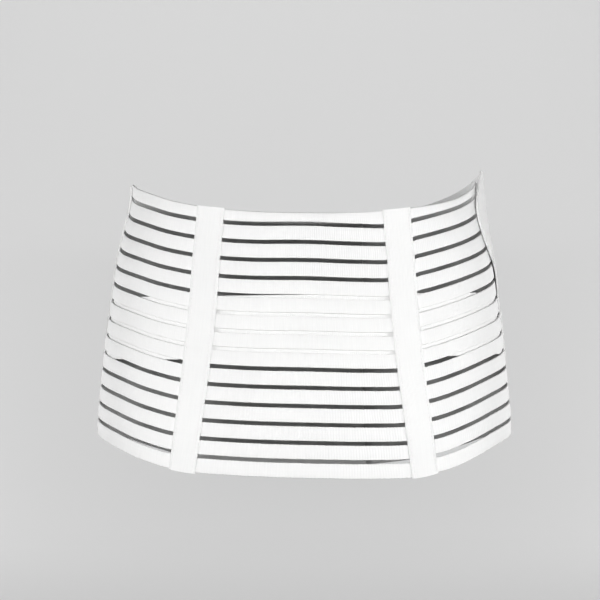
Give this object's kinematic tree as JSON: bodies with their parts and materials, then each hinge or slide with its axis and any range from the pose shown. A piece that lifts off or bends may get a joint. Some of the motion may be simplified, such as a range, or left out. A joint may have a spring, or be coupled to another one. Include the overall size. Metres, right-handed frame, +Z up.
{
  "type": "maternity support belt",
  "caption": "Wide slotted elastic support belt in its worn form, with two back tapes, a plain inner strap and overlapped front panels around an open waist hollow.",
  "frame": {"origin": "middle of the waist hollow, level with the middle of the belt's height at the back", "axes": "+Z up, -Y towards the wearer's back, +Y towards the belly, +X towards the wearer's right side"},
  "size_m": [0.376, 0.3054, 0.2779],
  "materials": {
    "web_elastic": "matt white woven elastic with fine crosswise ribs and slots between flat bands",
    "cover_tape": "matt white woven tape with a line of stitches near each edge",
    "strap_elastic": "matt white flat woven elastic",
    "panel_cloth": "matt white brushed cloth with a stitched edge",
    "hook_tape": "matt white hook tape"
  },
  "bodies": {
    "root": {"slotted_web": "web_elastic", "stay_cover_left": "cover_tape", "stay_cover_right": "cover_tape", "inner_strap": "strap_elastic", "front_panel_left": "panel_cloth", "front_panel_right": "panel_cloth", "hook_patch": "hook_tape"}
  },
  "joints": []
}
